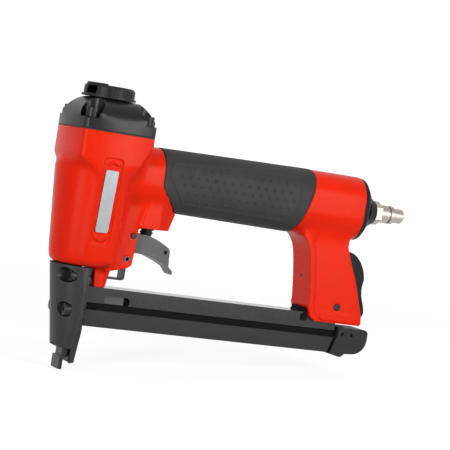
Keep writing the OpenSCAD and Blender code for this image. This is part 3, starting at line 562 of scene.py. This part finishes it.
def make_grip():
    """The sleeve as rings along the tool between its two cut edges, closed by its bore."""
    turn_y, turn_z, side = obround_ring(AROUND)
    front_z, rear_z = (HANDLE_Z + side * (high - wide) / 2 + turn_z * wide / 2
                       for _, wide, high in (GRIP_FROM, GRIP_TO))
    front = profile(GRIP_FRONT, front_z) + GRIP_GAP
    rear = profile(GRIP_REAR, rear_z) - GRIP_GAP
    share = np.linspace(0, 1, ALONG + 1)[:, None]
    x = front + (rear - front) * share
    size = (x - GRIP_FROM[0]) / (GRIP_TO[0] - GRIP_FROM[0])
    width = GRIP_FROM[1] + (GRIP_TO[1] - GRIP_FROM[1]) * size
    height = GRIP_FROM[2] + (GRIP_TO[2] - GRIP_FROM[2]) * size
    y = turn_y * width / 2
    z = HANDLE_Z + side * (height - width) / 2 + turn_z * width / 2
    from_end = np.minimum(x - front, rear - x)
    lip = LIP_R - np.sqrt(np.maximum(LIP_R ** 2 - np.clip(LIP_R - from_end, 0, LIP_R) ** 2, 0))
    flank = np.clip((np.abs(turn_y) - FLANK_FROM) / FLANK_RAMP, 0, 1)
    grow = relief(x, z, flank) - lip
    y = y + turn_y * grow
    z = z + turn_z * grow
    outer = np.stack([x, y, z], axis=2).reshape(-1, 3)
    core_y = turn_y * CORE_W / 2
    core_z = HANDLE_Z + side * (CORE_H - CORE_W) / 2 + turn_z * CORE_W / 2
    inner = [np.stack([edge, core_y, core_z], axis=1) for edge in (front, rear)]
    points = np.concatenate([outer] + inner) * MM
    ring = np.arange(AROUND)
    after = (ring + 1) % AROUND
    faces = []
    for row in range(ALONG):
        here, there = row * AROUND, (row + 1) * AROUND
        faces.append(np.stack([here + ring, here + after, there + after, there + ring], axis=1))
    last, front_in, rear_in = ALONG * AROUND, (ALONG + 1) * AROUND, (ALONG + 2) * AROUND
    faces.append(np.stack([front_in + ring, front_in + after, after, ring], axis=1))
    faces.append(np.stack([last + ring, last + after, rear_in + after, rear_in + ring], axis=1))
    faces.append(np.stack([rear_in + ring, rear_in + after, front_in + after, front_in + ring], axis=1))
    mesh = bpy.data.meshes.new("grip_sleeve")
    mesh.from_pydata(points.tolist(), [], np.concatenate(faces).tolist())
    work = bmesh.new()
    work.from_mesh(mesh)
    bmesh.ops.recalc_face_normals(work, faces=work.faces)
    work.to_mesh(mesh)
    work.free()
    smooth_all(mesh)
    obj = bpy.data.objects.new("grip_sleeve", mesh)
    scene.collection.objects.link(obj)
    coat_with(obj, rubber)
    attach(obj, "tool")
    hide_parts("rubber_grip")


# Studio: a pale floor that touches the nose foot and clears the pulled-out slide, a surround, two lamps
FOOT_TOUCH = Vector((-3.6, 0, 0)) * MM
SLIDE_CLEAR = Vector((333.0, 0, 25)) * MM
FLOOR_HALF = 6.0
# Strength of the surround in front of the tool, and the share of it that lights the tool
FRONT_GREY = 0.5
FILL = 0.62
# Direction in which the surround turns white
BEHIND = (0.45, 0.89, 0.0)
# Glow of the floor at the tool and far from it, and the distances in metres between which it rises
GLOW_NEAR, GLOW_FAR = 0.79, 1.0
GLOW_FROM, GLOW_TO = 0.5, 2.0
PAPER_DARK, PAPER_LIGHT = (0.33, 0.33, 0.33, 1), (0.34, 0.34, 0.34, 1)


def seen_share(tree):
    """1 for rays from the camera, and for mirrored and refracted ones."""
    path = tree.nodes.new("ShaderNodeLightPath")
    most = path.outputs["Is Camera Ray"]
    for name in ("Is Glossy Ray", "Is Transmission Ray"):
        pick = tree.nodes.new("ShaderNodeMath")
        pick.operation = "MAXIMUM"
        tree.links.new(most, pick.inputs[0])
        tree.links.new(path.outputs[name], pick.inputs[1])
        most = pick.outputs[0]
    return most


def make_floor():
    made = bpy.data.materials.new("floor_white")
    made.use_nodes = True
    tree = made.node_tree
    tree.nodes.remove(tree.nodes["Principled BSDF"])
    place = tree.nodes.new("ShaderNodeTexCoord").outputs["Object"]
    paper = mixed(tree, spread(tree, noise(tree, place, 60), 0, 1), PAPER_DARK, PAPER_LIGHT)
    matt = tree.nodes.new("ShaderNodeBsdfDiffuse")
    tree.links.new(paper, matt.inputs["Color"])
    away = tree.nodes.new("ShaderNodeVectorMath")
    away.operation = "LENGTH"
    tree.links.new(place, away.inputs[0])
    glow = tree.nodes.new("ShaderNodeEmission")
    strength = tree.nodes.new("ShaderNodeMath")
    strength.operation = "MULTIPLY"
    tree.links.new(seen_share(tree), strength.inputs[0])
    rising = spread(tree, away.outputs["Value"], GLOW_NEAR, GLOW_FAR, GLOW_FROM, GLOW_TO)
    tree.links.new(rising, strength.inputs[1])
    tree.links.new(strength.outputs[0], glow.inputs["Strength"])
    both = tree.nodes.new("ShaderNodeAddShader")
    tree.links.new(matt.outputs[0], both.inputs[0])
    tree.links.new(glow.outputs[0], both.inputs[1])
    tree.links.new(both.outputs[0], tree.nodes["Material Output"].inputs["Surface"])
    mesh = bpy.data.meshes.new("floor")
    half = FLOOR_HALF
    corners = [(-half, -half, 0), (half, -half, 0), (half, half, 0), (-half, half, 0)]
    mesh.from_pydata(corners, [], [(0, 1, 2, 3)])
    floor = bpy.data.objects.new("floor", mesh)
    scene.collection.objects.link(floor)
    rise = math.atan2(SLIDE_CLEAR.z - FOOT_TOUCH.z, SLIDE_CLEAR.x - FOOT_TOUCH.x)
    floor.matrix_world = Matrix.Translation(FOOT_TOUCH) @ Matrix.Rotation(-rise, 4, "Y")
    mesh.materials.append(made)


def make_world():
    """A studio that is white behind the tool and greyer in front of it."""
    world = bpy.data.worlds.new("studio")
    scene.world = world
    world.use_nodes = True
    tree = world.node_tree
    back = tree.nodes["Background"]
    back.inputs["Color"].default_value = (1, 1, 1, 1)
    behind = tree.nodes.new("ShaderNodeVectorMath")
    behind.operation = "DOT_PRODUCT"
    behind.inputs[1].default_value = BEHIND
    tree.links.new(tree.nodes.new("ShaderNodeTexCoord").outputs["Generated"], behind.inputs[0])
    fall = spread(tree, behind.outputs["Value"], FRONT_GREY, 1.0, -0.6, 0.3)
    strength = tree.nodes.new("ShaderNodeMath")
    strength.operation = "MULTIPLY"
    tree.links.new(fall, strength.inputs[0])
    tree.links.new(spread(tree, seen_share(tree), FILL, 1.0, 0.0, 1.0), strength.inputs[1])
    tree.links.new(strength.outputs[0], back.inputs["Strength"])


def lamp(name, place, target, size, watts):
    data = bpy.data.lights.new(name, "AREA")
    data.shape = "RECTANGLE"
    data.size, data.size_y = size
    data.energy = watts
    made = bpy.data.objects.new(name, data)
    scene.collection.objects.link(made)
    made.location = place
    made.rotation_mode = "QUATERNION"
    made.rotation_quaternion = (Vector(target) - Vector(place)).to_track_quat("-Z", "Y")


def make_lights():
    middle = (0.09, 0, 0.10)
    lamp("right", (0.43, -0.80, 0.32), middle, (0.43, 0.58), 5.4)
    lamp("left", (-0.66, -0.50, 0.20), middle, (0.20, 0.40), 3.6)


make_camera()
for finish, names in FINISHES.items():
    for name in names:
        coat_with(nodes[name], finish)
# The magazine's inner walls get painted shade, so the gap between rail and slide reads dark
for name in ("feed_slide", "magazine_rail"):
    coat_faces(nodes[name], painted_shade_black, between_walls)
# The rail's level top gets a painted sheen: a lighter, glossier steel
coat_faces(nodes["magazine_rail"], painted_sheen_steel, on_top)
for name, width in EDGES.items():
    soften(nodes[name], width)
body_casting = make_casting("body", "body_casting", BODY_SKIN, body_lengths, red_paint)
ease_leg(body_casting.data)
make_casting("cylinder_cap", "cap_casting", CAP_SKIN, cap_lengths, black_cap)
make_casting("release_lever", "lever_moulding", LEVER_SKIN, lever_lengths, dark_plastic, "release_lever")
make_grip()
make_floor()
make_world()
make_lights()
scene.view_settings.view_transform = "Standard"
